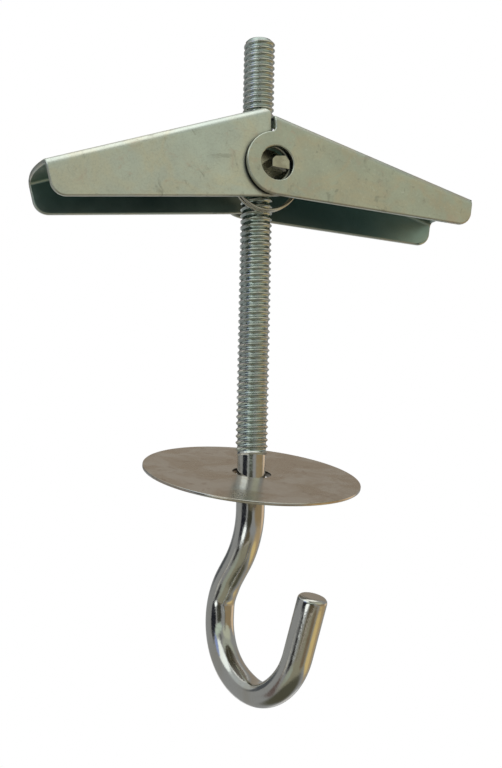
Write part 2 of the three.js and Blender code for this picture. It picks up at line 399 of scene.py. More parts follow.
class Nodes(Wiring):
    """Builds a material's nodes, working in the object's own coordinates."""

    def __init__(self, name: str) -> None:
        """Starts an empty material.

        Args:
            name: the material's name.
        """
        self.material = bpy.data.materials.new(name)
        self.material.use_nodes = True
        super().__init__(self.material.node_tree)
        self.shader = self.add("ShaderNodeBsdfPrincipled")
        self.add("ShaderNodeOutputMaterial", {"Surface": self.shader.outputs["BSDF"]})
        self.coords = self.add("ShaderNodeTexCoord").outputs["Object"]

    def mapped(
        self, scale: Triple = (1.0, 1.0, 1.0), turn: Triple = ORIGIN, shift: Triple = ORIGIN
    ) -> Socket:
        """Object coordinates, scaled, turned and shifted.

        Args:
            scale: the scale along each axis.
            turn: the turn about each axis, in degrees.
            shift: the shift along each axis, in metres.

        Returns:
            The vector.
        """
        given = {"Vector": self.coords, "Scale": Vector(scale), "Location": Vector(shift)}
        given["Rotation"] = Vector([math.radians(angle) for angle in turn])
        return self.add("ShaderNodeMapping", given).outputs["Vector"]

    def noise(
        self,
        size: float,
        detail: float = 3.0,
        rough: float = 0.6,
        vector: Socket | None = None,
        distortion: float = 0.0,
    ) -> Socket:
        """A cloudy pattern.

        Args:
            size: how large its clouds are, in millimetres.
            detail: how many finer layers it has.
            rough: how strong the finer layers are.
            vector: the coordinates, or None for the object's own.
            distortion: how far it is warped.

        Returns:
            Its value, from 0 to 1.
        """
        given = {"Vector": vector or self.coords, "Scale": 1.0 / (size * MM), "Detail": detail}
        given |= {"Roughness": rough, "Distortion": distortion}
        return self.add("ShaderNodeTexNoise", given).outputs["Fac"]

    def ramp(self, value: Socket, stops: list[tuple[float, Colour]]) -> Socket:
        """Turns a value into a colour.

        Args:
            value: from 0 to 1.
            stops: places and colours, in order.

        Returns:
            The colour.
        """
        node = self.add("ShaderNodeValToRGB", {"Fac": value})
        elements = node.color_ramp.elements
        while len(elements) < len(stops):
            elements.new(0.5)
        for element, (place, colour) in zip(elements, stops):
            element.position = place
            element.color = (*colour, 1.0)
        return node.outputs["Color"]

    def tint(
        self, under: Tone, pattern: Socket, low: float, high: float, most: float, over: Colour
    ) -> Socket:
        """Lays a colour over another by a pattern.

        Args:
            under: the colour below.
            pattern: the pattern.
            low: the value at which the upper colour starts.
            high: the value at which it covers the most.
            most: how much it covers there.
            over: the upper colour.

        Returns:
            The mixed colour.
        """
        return self.blend(self.span(pattern, low, high, 0.0, most), under, over)

    def openness(self, reach: float, own: bool = False) -> Socket:
        """How open a place is, from 0 between close walls to 1 where nothing is near.

        Args:
            reach: how near a wall has to be to count, in millimetres.
            own: whether only the piece's own walls count.

        Returns:
            The open share.
        """
        given = {"Distance": reach * MM}
        node = self.add("ShaderNodeAmbientOcclusion", given, samples=8, only_local=own)
        return node.outputs["AO"]

    def relief(
        self, height: Socket, depth: float, strength: float, under: Socket | None = None
    ) -> Socket:
        """Bumps the surface by a pattern.

        Args:
            height: the pattern.
            depth: its depth in millimetres.
            strength: how much of it shows.
            under: another relief below this one.

        Returns:
            The normal.
        """
        given = {"Height": height, "Distance": depth * MM, "Strength": strength}
        if under is not None:
            given["Normal"] = under
        return self.add("ShaderNodeBump", given).outputs["Normal"]

    def rod_place(self) -> tuple[Socket, Socket]:
        """Where a point lies on the rod, in millimetres.

        Returns:
            Its distance from the rod's axis and its height.
        """
        x, y, z = self.add("ShaderNodeSeparateXYZ", {"Vector": self.coords}).outputs
        square = self.maths("ADD", self.maths("MULTIPLY", x, x), self.maths("MULTIPLY", y, y))
        away = self.maths("MULTIPLY", self.maths("SQRT", square), 1 / MM)
        return away, self.maths("MULTIPLY", z, 1 / MM)

    def metal(self, colour: Socket, roughness: Socket, normal: Socket) -> Material:
        """Joins the patterns to a metal shader.

        Args:
            colour: its colour.
            roughness: its roughness.
            normal: its relief.

        Returns:
            The material.
        """
        given = {"Base Color": colour, "Roughness": roughness, "Normal": normal, "Metallic": 1.0}
        self.fill(self.shader, given)
        return self.material


@dataclass(frozen=True)
class PlatedSheet:
    """Zinc on pressed sheet steel: a soft grey-green and smudged, with painted shade inside its
    channel and where other parts lie close.
    """

    name: str
    green: Colour
    straw: Colour
    blue: Colour
    seed: float
    grain: Colour = (0.44, 0.45, 0.40)
    worn: Colour = (0.86, 0.88, 0.82)
    smudge: Colour = (0.38, 0.38, 0.33)
    rust: Colour = (0.66, 0.56, 0.47)
    # The next two colours are painted shade: the first inside the channel, the second where another
    # part lies close.
    inner: Colour = (0.30, 0.42, 0.41)
    crevice_shade: Colour = (0.035, 0.045, 0.06)
    roughness: float = 0.36

    def make(self) -> Material:
        """Builds the material.

        Returns:
            The material.
        """
        nodes = Nodes(self.name)
        spot = nodes.mapped(shift=(self.seed, self.seed * 0.7, -self.seed))
        clouds = nodes.noise(11.0, 3.0, 0.55, spot, 0.6)
        stops = [(0.0, self.blue), (0.42, self.green), (0.7, self.straw), (1.0, self.green)]
        colour = nodes.ramp(nodes.span(clouds, 0.3, 0.7), stops)
        grain = nodes.noise(0.42, 4.0, 0.75, spot)
        colour = nodes.tint(colour, grain, 0.42, 0.72, 0.30, self.grain)
        worn = nodes.noise(0.6, 3.0, 0.7, nodes.mapped(turn=(40.0, 25.0, 60.0)))
        colour = nodes.tint(colour, worn, 0.55, 0.75, 0.35, self.worn)
        smudge = nodes.noise(3.2, 5.0, 0.66, spot, 1.4)
        colour = nodes.tint(colour, smudge, 0.57, 0.72, 0.6, self.smudge)
        rust = nodes.noise(5.0, 5.0, 0.68, nodes.mapped((1.0, 1.0, 1.6), (0.0, 70.0, 20.0)), 0.8)
        colour = nodes.tint(colour, rust, 0.54, 0.72, 0.65, self.rust)
        # Painted shade: a darker blue-green deep inside the channel, where the wing's own walls
        # close round.
        colour = nodes.tint(colour, nodes.openness(26.0, own=True), 0.94, 0.60, 0.95, self.inner)
        # Painted shade: near black where another part lies close, such as the gap round the eye.
        colour = nodes.tint(colour, nodes.openness(1.5), 0.85, 0.35, 0.92, self.crevice_shade)
        haze = nodes.noise(6.0, 4.0, 0.6, spot)
        rough = nodes.span(haze, 0.25, 0.75, self.roughness - 0.05, self.roughness + 0.07)
        wave = nodes.relief(nodes.noise(9.0, 1.0, 0.4, spot), 0.06, 0.6)
        rolled = nodes.noise(0.6, 3.0, 0.6, nodes.mapped((0.06, 1.0, 1.0), (0.0, 17.0, 0.0)))
        marks = nodes.relief(rolled, 0.006, 0.5, wave)
        pits = nodes.relief(nodes.noise(0.16, 2.0, 0.6, spot), 0.004, 0.5, marks)
        return nodes.metal(colour, rough, pits)


@dataclass(frozen=True)
class PolishedDisc:
    """Bright plate on thin sheet, with tan clouds, brown stains, a faint grain and painted shade
    round its hole.
    """

    name: str
    bright: Colour
    tan: Colour
    stain: Colour = (0.38, 0.29, 0.22)
    speck: Colour = (0.80, 0.79, 0.76)
    # The next colour is painted shade, for where another part lies close.
    crevice_shade: Colour = (0.03, 0.03, 0.035)
    roughness: float = 0.23

    def make(self) -> Material:
        """Builds the material.

        Returns:
            The material.
        """
        nodes = Nodes(self.name)
        drawn = (1.0, 1.2, 1.0)
        clouds = nodes.noise(9.0, 4.0, 0.6, nodes.mapped(drawn, (0.0, 0.0, 35.0)), 0.6)
        colour = nodes.tint(self.bright, clouds, 0.38, 0.62, 0.9, self.tan)
        stain = nodes.noise(3.4, 5.0, 0.66, nodes.mapped(drawn, (0.0, 0.0, 110.0)), 0.9)
        colour = nodes.tint(colour, stain, 0.55, 0.72, 0.65, self.stain)
        colour = nodes.tint(colour, nodes.noise(0.5, 3.0, 0.7), 0.5, 0.75, 0.25, self.speck)
        # Painted shade: dark round the hole, where the burr and the shank lie close.
        colour = nodes.tint(colour, nodes.openness(1.2), 0.9, 0.4, 0.92, self.crevice_shade)
        rough = nodes.span(clouds, 0.3, 0.75, self.roughness - 0.03, self.roughness + 0.07)
        wave = nodes.relief(nodes.noise(6.0, 2.0, 0.5), 0.012, 0.5)
        grain = nodes.relief(nodes.noise(0.3), 0.0014, 0.5, wave)
        return nodes.metal(colour, rough, grain)


@dataclass(frozen=True)
class PlatedWire:
    """Zinc on drawn wire and a rolled thread: tan on the wire, a painted highlight along the
    crests, and greenish hollows darker than the wire, partly grime and partly painted shade.
    """

    name: str
    bright: Colour
    tan: Colour
    flank: Colour
    root: Colour
    # The next colour is a painted highlight for the thread's crests.
    crest_highlight: Colour
    thread_foot: float
    crest_radius: float
    speck: Colour = (0.33, 0.30, 0.26)
    roughness: float = 0.11
    thread_roughness: float = 0.09

    def make(self) -> Material:
        """Builds the material.

        Returns:
            The material.
        """
        nodes = Nodes(self.name)
        clouds = nodes.noise(6.0, 4.0, 0.6, nodes.mapped((1.0, 1.0, 0.4)), 0.4)
        wire = nodes.tint(self.bright, clouds, 0.4, 0.75, 0.7, self.tan)
        wire = nodes.tint(wire, nodes.noise(0.45, 4.0, 0.7), 0.55, 0.8, 0.35, self.speck)
        away, height = nodes.rod_place()
        threaded = nodes.span(height, self.thread_foot - 0.2, self.thread_foot + 0.4)
        # The thread is darker than the plain wire: partly grime, and partly painted shade for the
        # dimmer light among the wings.
        flank = nodes.tint(self.flank, clouds, 0.35, 0.7, 1.0, self.root)
        # Painted highlight: a pale line along the thread's crests, broken into patches by a noise.
        crest_highlight = nodes.span(away, self.crest_radius - 0.12, self.crest_radius - 0.03, 0.0, 0.95)
        highlight_patches = nodes.span(nodes.noise(2.5), 0.3, 0.6, 0.3, 1.0)
        thread = nodes.blend(nodes.maths("MULTIPLY", crest_highlight, highlight_patches), flank, self.crest_highlight)
        colour = nodes.blend(threaded, wire, thread)
        haze = nodes.noise(1.6, 4.0, 0.65)
        rough = nodes.span(haze, 0.3, 0.8, self.roughness - 0.03, self.roughness + 0.12)
        rougher = nodes.maths("MULTIPLY", threaded, self.thread_roughness)
        rough = nodes.maths("ADD", rough, rougher)
        drawn = nodes.noise(0.25, vector=nodes.mapped((1.0, 1.0, 0.08)))
        lines = nodes.relief(drawn, 0.009, 0.5)
        peel = nodes.relief(nodes.noise(0.42), 0.014, 0.6, lines)
        dents = nodes.relief(nodes.noise(1.5), 0.026, 0.6, peel)
        return nodes.metal(colour, rough, dents)


@dataclass(frozen=True)
class PlainPlate:
    """Zinc on a small formed piece, dull in places."""

    name: str
    bright: Colour
    dull: Colour
    roughness: float = 0.28
    speck: Colour = (0.25, 0.23, 0.19)

    def make(self) -> Material:
        """Builds the material.

        Returns:
            The material.
        """
        nodes = Nodes(self.name)
        clouds = nodes.noise(2.2, 4.0, 0.6)
        colour = nodes.tint(self.bright, clouds, 0.35, 0.7, 0.8, self.dull)
        colour = nodes.tint(colour, nodes.noise(0.3, 3.0, 0.7), 0.55, 0.8, 0.3, self.speck)
        rough = nodes.span(clouds, 0.3, 0.7, self.roughness - 0.05, self.roughness + 0.08)
        grain = nodes.relief(nodes.noise(0.35), 0.008, 0.6)
        return nodes.metal(colour, rough, grain)


def dress(piece: Piece, material: Material) -> None:
    """Gives a piece its one material.

    Args:
        piece: the object.
        material: its finish.
    """
    piece.data.materials.clear()
    piece.data.materials.append(material)


# ---- the rod and hook


@dataclass
class HookRod:
    """One length of wire: a rolled thread, a plain shank, a crank and an open hook.

    Each tool mark has its angle round the bowl, its width in degrees and its depth. The last four
    fields keep the bowl's centre and how far the wire is drawn: its place and its heading.
    """

    pitch: float = 1.27
    crest_radius: float = 3.175
    root_radius: float = 2.82
    wire_radius: float = 2.8
    top: float = 28.1
    top_chamfer: float = 0.7
    thread_foot: float = -56.45
    run_out: float = 0.9
    shank_start: float = -57.7
    crank_start: float = -67.9
    crank_radius: float = 16.4
    crank_angle: float = 38.3
    crank_straight: float = 3.0
    bowl_radius: float = 13.2
    bowl_angle: float = 124.3
    throat_radius: float = 11.1
    throat_angle: float = 75.3
    arm: float = 10.7
    rim: float = 0.9
    rim_steps: int = 7
    end_rings: tuple[float, ...] = (1.3, 0.7)
    azimuth: float = -73.4
    lean: float = 1.5
    tool_marks: tuple[Triple, ...] = ((0.0, 19.0, 0.8), (-104.0, 7.0, 0.4))
    tool_margin: float = 1.0
    crest_flat: float = 0.15
    hollow: float = 2.5
    section_steps: int = 16
    spare_pitches: float = 1.6
    lap: float = 0.2
    sides: int = 48
    wire_sides: int = 56
    centre: tuple[float, float] = field(init=False, default=(0.0, 0.0))
    across: float = field(init=False, default=0.0)
    level: float = field(init=False, default=0.0)
    heading: float = field(init=False, default=0.0)

    def make(self) -> Piece:
        """Builds the whole rod.

        Returns:
            The finished object.
        """
        piece = self.cut_thread()
        self.draw_wire(piece)
        Bench.smooth(piece, angle=50)
        piece.rotation_euler.z = math.radians(self.azimuth)
        Bench.place(piece)
        finish = PlatedWire(
            name="zinc_wire",
            bright=(0.65, 0.64, 0.61),
            tan=(0.58, 0.54, 0.46),
            flank=(0.46, 0.50, 0.47),
            root=(0.50, 0.57, 0.53),
            crest_highlight=(0.88, 0.84, 0.80),
            thread_foot=self.thread_foot,
            crest_radius=self.crest_radius,
        )
        dress(piece, finish.make())
        return piece

    def cut_thread(self) -> Piece:
        """Turns one pitch of the thread's outline round the rod, and ends it at both sides.

        Returns:
            The threaded length, open at its lower end.
        """
        outline = []
        for step in range(self.section_steps + 1):
            part = step / self.section_steps
            climb = min((1 - abs(1 - 2 * part)) / (1 - self.crest_flat), 1.0) ** self.hollow
            radius = self.root_radius + (self.crest_radius - self.root_radius) * climb
            outline.append((radius, self.pitch * part))
        start = self.shank_start - self.spare_pitches * self.pitch
        bpy.ops.mesh.primitive_plane_add(size=0.01 * MM, location=(0, 0, 0))
        piece = Bench.name("hook_rod_wire")
        bpy.ops.object.mode_set(mode="EDIT")
        bpy.ops.mesh.select_all(action="SELECT")
        bpy.ops.mesh.merge(type="CENTER")
        bpy.ops.mesh.select_all(action="SELECT")
        bpy.ops.transform.translate(value=(self.root_radius * MM, 0, start * MM))
        for (r0, z0), (r1, z1) in zip(outline, outline[1:]):
            move = ((r1 - r0) * MM, 0, (z1 - z0) * MM)
            bpy.ops.mesh.extrude_region_move(TRANSFORM_OT_translate={"value": move})
        Bench.clear()
        turns = math.ceil((self.top - start) / self.pitch) + 1
        Bench.modify(
            piece,
            "SCREW",
            axis="Z",
            angle=math.tau,
            screw_offset=self.pitch * MM,
            iterations=turns,
            steps=self.sides,
            render_steps=self.sides,
            use_merge_vertices=True,
            merge_threshold=FINE_WELD * MM,
        )
        Bench.edit(piece)
        Bench.weld()
        for height, keep_below in ((self.top, True), (self.shank_start, False)):
            bpy.ops.mesh.select_all(action="SELECT")
            bpy.ops.mesh.bisect(
                plane_co=(0, 0, height * MM),
                plane_no=(0, 0, 1),
                clear_outer=keep_below,
                clear_inner=not keep_below,
                use_fill=keep_below,
                threshold=ON_PLANE * MM,
            )
        Bench.reshape(self.end_thread)
        Bench.clear()
        return piece

    def end_thread(self, place: Vector) -> Vector:
        """Fades the thread into the shank and chamfers its top.

        Args:
            place: a vertex, in millimetres.

        Returns:
            Its new place.
        """
        radius = math.hypot(place.x, place.y)
        if radius < 1e-6:
            return place
        fade = min(max((self.thread_foot + self.lap - place.z) / self.run_out, 0.0), 1.0)
        fade = fade * fade * (3 - 2 * fade)
        wanted = radius + (self.wire_radius - radius) * fade
        chamfered = max(place.z - (self.top - self.top_chamfer), 0.0)
        wanted = min(wanted, self.crest_radius - chamfered)
        scale = wanted / radius
        return Vector((place.x * scale, place.y * scale, place.z))

    def draw_wire(self, piece: Piece) -> None:
        """Draws the open lower edge out along the shank and round the hook.

        Args:
            piece: the threaded length.
        """
        start = self.shank_start - self.lap
        self.across, self.level, self.heading = 0.0, start, 0.0
        wire = Bench.ring("wire", self.wire_sides, self.wire_radius, (0.0, 0.0, start))
        Bench.take(piece)
        wire.select_set(True)
        bpy.ops.object.join()
        Bench.edit(piece)
        bpy.ops.mesh.select_mode(type="EDGE")
        bpy.ops.mesh.select_non_manifold(
            use_multi_face=False, use_non_contiguous=False, use_verts=False
        )
        bpy.ops.mesh.bridge_edge_loops()
        Bench.pick(Part.EDGES, lambda middle, _: abs(middle.z - start) < FINE_WELD)
        self.run(start - self.crank_start, steps=3)
        self.bend(-self.crank_radius, self.crank_angle, steps=16)
        self.run(self.crank_straight, steps=2)
        self.centre = self.bend(self.bowl_radius, self.bowl_angle, steps=64)
        self.bend(self.throat_radius, self.throat_angle, steps=30)
        self.run(self.arm, steps=4)
        radius = self.wire_radius
        for step in range(self.rim_steps):
            back, turn = (count / self.rim_steps * math.pi / 2 for count in (step, step + 1))
            self.run(self.rim * (math.sin(turn) - math.sin(back)), steps=1)
            radius = self.narrow(radius, self.wire_radius - self.rim * (1 - math.cos(turn)))
        for wanted in self.end_rings:
            self.run(0.0, steps=1)
            radius = self.narrow(radius, wanted)
        bpy.ops.mesh.edge_face_add()
        Bench.reshape(self.dent)
        Bench.reshape(self.lean_over)
        Bench.close_edit()

    def dent(self, place: Vector) -> Vector:
        """Presses the marks of the bending tool into the inside of the bowl.

        Args:
            place: a vertex, in millimetres.

        Returns:
            Its new place.
        """
        across, down = place.x - self.centre[0], self.centre[1] - place.z
        reach = math.hypot(across, down)
        limit = self.bowl_radius + self.tool_margin
        if place.z > self.crank_start or reach > limit:
            return place
        inner = min((limit - reach) / (self.wire_radius + self.tool_margin), 1.0)
        angle = math.degrees(math.atan2(across, down))
        depth = 0.0
        for at, wide, deep in self.tool_marks:
            depth += deep * math.exp(-((((angle - at + 180) % 360 - 180) / wide) ** 2))
        scale = 1 + depth * inner * inner / reach
        return Vector((self.centre[0] + across * scale, place.y, self.centre[1] - down * scale))

    def lean_over(self, place: Vector) -> Vector:
        """Leans the hook's plane sideways, below the straight shank.

        Args:
            place: a vertex, in millimetres.

        Returns:
            Its new place.
        """
        below = min(place.z - self.crank_start, 0.0)
        return place + Vector((0.0, below * math.tan(math.radians(self.lean)), 0.0))

    def narrow(self, radius: float, wanted: float) -> float:
        """Scales the selected ring about the wire's middle.

        Args:
            radius: its radius in millimetres.
            wanted: the radius it should have.

        Returns:
            Its new radius.
        """
        scale = wanted / radius
        middle = (self.across * MM, 0, self.level * MM)
        bpy.ops.transform.resize(value=(scale, scale, scale), center_override=middle)
        return wanted

    def run(self, length: float, steps: int) -> None:
        """Draws the selected edge straight on.

        Args:
            length: how far, in millimetres.
            steps: in how many strips.
        """
        turn = math.radians(self.heading)
        right, down = math.sin(turn) * length, math.cos(turn) * length
        for _ in range(steps):
            move = (right / steps * MM, 0, -down / steps * MM)
            bpy.ops.mesh.extrude_edges_move(TRANSFORM_OT_translate={"value": move})
        self.across += right
        self.level -= down

    def bend(self, radius: float, angle: float, steps: int) -> tuple[float, float]:
        """Spins the selected edge round a bend.

        Args:
            radius: of the wire's middle, negative for a bend away from the arm.
            angle: how far it turns, in degrees.
            steps: in how many strips.

        Returns:
            The bend's centre, across and up, in millimetres.
        """
        turn = math.radians(self.heading)
        centre = (self.across + radius * math.cos(turn), self.level + radius * math.sin(turn))
        way = math.copysign(1.0, radius)
        bpy.ops.mesh.spin(
            steps=steps,
            angle=way * math.radians(angle),
            center=(centre[0] * MM, 0, centre[1] * MM),
            axis=(0, 1, 0),
        )
        self.heading += way * angle
        after = math.radians(self.heading)
        self.across = centre[0] - radius * math.cos(after)
        self.level = centre[1] - radius * math.sin(after)
        return centre


# ---- the cover disc


@dataclass
class CoverDisc:
    """A thin plated disc with a plain hole, hanging askew on the shank."""

    radius: float = 21.4
    thickness: float = 0.6
    hole_radius: float = 3.8
    level: float = -60.6
    tilt: float = 17.5
    lean_azimuth: float = -95.7
    shift: float = 0.4
    edge: float = 0.14
    burr: float = 0.6
    sides: int = 160
    rings: tuple[float, ...] = (4.2, 4.6, 8.0, 13.0, 18.0, 20.6)

    def make(self) -> Piece:
        """Builds the disc, with the burr that punching leaves under its hole.

        Returns:
            The finished object.
        """
        piece = Bench.ring("cover_disc_plate", self.sides, self.hole_radius)
        bpy.ops.object.mode_set(mode="EDIT")
        bpy.ops.mesh.select_all(action="SELECT")
        radius = self.hole_radius
        for wanted in (*self.rings, self.radius):
            bpy.ops.mesh.extrude_edges_move(TRANSFORM_OT_translate={"value": (0, 0, 0)})
            scale = wanted / radius
            bpy.ops.transform.resize(value=(scale, scale, 1.0))
            radius = wanted
        Bench.close_edit()
        Bench.modify(piece, "SOLIDIFY", thickness=self.thickness * MM, offset=0.0)
        Bench.edit(piece)
        under = WELD - self.thickness / 2
        rim = self.rings[0]
        Bench.pick(Part.FACES, lambda middle, _: middle.z < under and middle.xy.length < rim)
        bpy.ops.mesh.extrude_region_move(TRANSFORM_OT_translate={"value": (0, 0, -self.burr * MM)})
        Bench.close_edit()
        Bench.soften(piece, self.edge, segments=3)
        lean = math.radians(self.lean_azimuth)
        away = Vector((math.cos(lean), math.sin(lean), 0.0))
        axis = Vector((-away.y, away.x, 0.0))
        place = (away * self.shift + Vector((0.0, 0.0, self.level))) * MM
        turned = Matrix.Rotation(math.radians(self.tilt), 4, axis)
        piece.matrix_world = Matrix.Translation(place) @ turned
        Bench.place(piece)
        dress(piece, PolishedDisc("plated_disc", (0.68, 0.66, 0.62), (0.54, 0.46, 0.37)).make())
        return piece


# ---- wings and nut


@dataclass
class Wing:
    """A pressed channel, its blanked edges rounded over and its web's far end bowed.

    hang is how far it hangs low for each millimetre back from its front flange.
    """

    node: str
    finish: PlatedSheet
    hang: float = 0.0
    shortest: float = 0.12
    crown_rise: float = 0.6
    crown_reach: float = 1.2
    crown_width: float = 0.8
    strips: int = 13
    strips_width: float = 0.86
    edge: float = 0.3
    sharp: float = 40.0

    def crown(self, half: float) -> None:
        """Bows the web's far edge outwards between the flanges.

        Args:
            half: half of the wing's width, in millimetres.
        """
        for step in range(1, self.strips):
            bpy.ops.mesh.select_all(action="SELECT")
            across = (step / self.strips * 2 - 1) * half * self.strips_width
            bpy.ops.mesh.bisect(
                plane_co=(0, across * MM, 0), plane_no=(0, 1, 0), threshold=ON_PLANE * MM
            )
        mesh = bmesh.from_edit_mesh(bpy.context.object.data)
        crowned = half * self.crown_width
        web = [vert.co.x / MM for vert in mesh.verts if abs(vert.co.y) < crowned * MM]
        far = max(web, key=abs)

        def bowed(place: Vector) -> Vector:
            """Moves a vertex outwards if it is near the far edge.

            Args:
                place: the vertex, in millimetres.

            Returns:
                Its new place.
            """
            bow = self.crown_rise * (1 - (place.y / crowned) ** 2)
            if place.x * far < 0 or abs(place.x) < abs(far) - self.crown_reach or bow < 0:
                return place
            return place + Vector((math.copysign(bow, far), 0, 0))

        Bench.reshape(bowed)

    def make(self, node: Piece) -> Piece:
        """Builds the wing from its frame node.

        Args:
            node: the frame's solid.

        Returns:
            The finished object.
        """
        piece = Bench.copy_of(node, f"{self.node}_pressing")
        Bench.edit(piece)
        Bench.weld(self.shortest)
        front = min(vert.co.y for vert in bmesh.from_edit_mesh(piece.data).verts) / MM
        Bench.reshape(lambda place: place - Vector((0, 0, self.hang * (place.y - front))))
        self.crown(-front)
        Bench.clear()
        Bench.soften(piece, self.edge, segments=4, angle=self.sharp, clamp=False)
        dress(piece, self.finish.make())
        return piece


@dataclass
class CrossNut:
    """The formed nut, its lugs standing in the wings' eyes.

    The front lug's upright edges beyond lug_front and lug_left are chamfered.
    """

    edge: float = 0.18
    lug_chamfer: float = 0.5
    lug_front: float = -8.5
    lug_left: float = -0.5
    upright: float = 0.9

    def make(self, node: Piece) -> Piece:
        """Builds the nut from its frame node.

        Args:
            node: the frame's solid.

        Returns:
            The finished object.
        """
        piece = Bench.copy_of(node, "trunnion_nut_body")
        Bench.edit(piece)

        def on_lug(middle: Vector, way: Vector) -> bool:
            """Whether an edge stands upright on the front lug's left."""
            outer = middle.y < self.lug_front and middle.x < self.lug_left
            return outer and abs(way.z) > self.upright

        Bench.pick(Part.EDGES, on_lug)
        bpy.ops.mesh.bevel(offset=self.lug_chamfer * MM, segments=2, affect="EDGES")
        Bench.clear()
        Bench.soften(piece, self.edge, segments=3)
        dress(piece, PlainPlate("zinc_nut", (0.56, 0.53, 0.44), (0.42, 0.39, 0.31)).make())
        return piece


# ---- the spring


@dataclass
class TorsionSpring:
    """Two turns of fine wire round the nut, with an arm under each wing."""

    wire_radius: float = 0.3
    radius: float = 6.75
    turns: int = 2
    middle_x: float = -0.3
    middle_z: float = -2.05
    first_y: float = -3.795
    last_y: float = -6.2
    reach: float = 12.6
    left_end: float = 5.524
    right_end: float = 5.49
    sides: int = 14
    turn_steps: int = 72
    arm_steps: int = 10

    def make(self) -> dict[str, Piece]:
        """Builds the coil and its two arms.

        Returns:
            The three objects by name.
        """
        finish = PlainPlate("spring_wire", (0.62, 0.61, 0.56), (0.50, 0.47, 0.40), 0.2).make()
        pieces = {
            "coil": self.coil(),
            "left": self.arm("spring_arm_left", -1, self.first_y, self.left_end),
            "right": self.arm("spring_arm_right", 1, self.last_y, self.right_end),
        }
        for piece in pieces.values():
            dress(piece, finish)
        return pieces

    def coil(self) -> Piece:
        """Turns the section round the nut.

        Returns:
            The coil, closed at both ends.
        """
        start = (0.0, self.first_y, self.radius)
        piece = Bench.ring("spring_coil", self.sides, self.wire_radius, start, 90.0)
        Bench.modify(
            piece,
            "SCREW",
            axis="Y",
            angle=-math.tau,
            screw_offset=(self.last_y - self.first_y) / self.turns * MM,
            iterations=self.turns,
            steps=self.turn_steps,
            render_steps=self.turn_steps,
        )
        piece.location = (self.middle_x * MM, 0, self.middle_z * MM)
        Bench.place(piece)
        Bench.edit(piece)
        bpy.ops.mesh.select_mode(type="EDGE")
        bpy.ops.mesh.select_non_manifold()
        bpy.ops.mesh.edge_face_add()
        Bench.close_edit()
        Bench.smooth(piece, angle=40)
        return piece

    def arm(self, name: str, side: int, y: float, end: float) -> Piece:
        """Draws an arm from the coil's top to its end under the wing.

        Args:
            name: the object's name.
            side: -1 for the left, 1 for the right.
            y: where along the coil it leaves.
            end: the height of its end.

        Returns:
            The arm, closed at both ends.
        """
        top = self.radius + self.middle_z
        start = (self.middle_x, y, top)
        piece = Bench.ring(name, self.sides, self.wire_radius, start, 90.0)
        Bench.edit(piece)
        bpy.ops.mesh.select_all(action="SELECT")
        bpy.ops.mesh.edge_face_add()
        run = side * self.reach - self.middle_x
        move = (run / self.arm_steps * MM, 0, (end - top) / self.arm_steps * MM)
        for _ in range(self.arm_steps):
            bpy.ops.mesh.extrude_region_move(TRANSFORM_OT_translate={"value": move})
        Bench.close_edit()
        Bench.smooth(piece, angle=40)
        return piece


# ---- the studio


@dataclass(frozen=True)
class View:
    """Where the camera stands, round a point on the rod; lengths in millimetres."""

    azimuth: float = -22.5
    elevation: float = -7.38
    roll: float = 1.15
    distance: float = 237.02
    target: Triple = (0.0, 0.0, -42.8)
    aside: float = -0.362
    focal: float = 1198.1
    width: int = 502
    sensor: float = 36.0
    nearest: float = 5.0
    farthest: float = 20000.0

    def axes(self) -> tuple[Vector, Vector, Vector]:
        """The way the camera stands, before its roll.

        Returns:
            Its right, up and back directions.
        """
        turn, lift = math.radians(self.azimuth), math.radians(self.elevation)
        level = math.cos(lift)
        back = Vector((math.sin(turn) * level, -math.cos(turn) * level, math.sin(lift)))
        right = Vector((math.cos(turn), math.sin(turn), 0.0))
        return right, back.cross(right), back

    def make(self) -> None:
        """Adds the camera."""
        right, up, back = self.axes()
        roll = math.radians(self.roll)
        across = right * math.cos(roll) + up * math.sin(roll)
        upward = up * math.cos(roll) - right * math.sin(roll)
        place = (Vector(self.target) + back * self.distance + across * self.aside) * MM
        data = bpy.data.cameras.new("camera")
        data.sensor_fit = "HORIZONTAL"
        data.sensor_width = self.sensor
        data.lens = self.focal * self.sensor / self.width
        data.clip_start = self.nearest * MM
        data.clip_end = self.farthest * MM
        camera = bpy.data.objects.new("camera", data)
        bpy.context.scene.collection.objects.link(camera)
        rows = Matrix((across, upward, back)).transposed().to_4x4()
        camera.matrix_world = Matrix.Translation(place) @ rows
        bpy.context.scene.camera = camera


@dataclass(frozen=True)
class Patch:
    """A soft oval of the room's walls, by angles from the camera and the horizon, in degrees."""

    azimuth: float
    elevation: float
    half_width: float
    half_height: float
    core: float
    colour: Colour


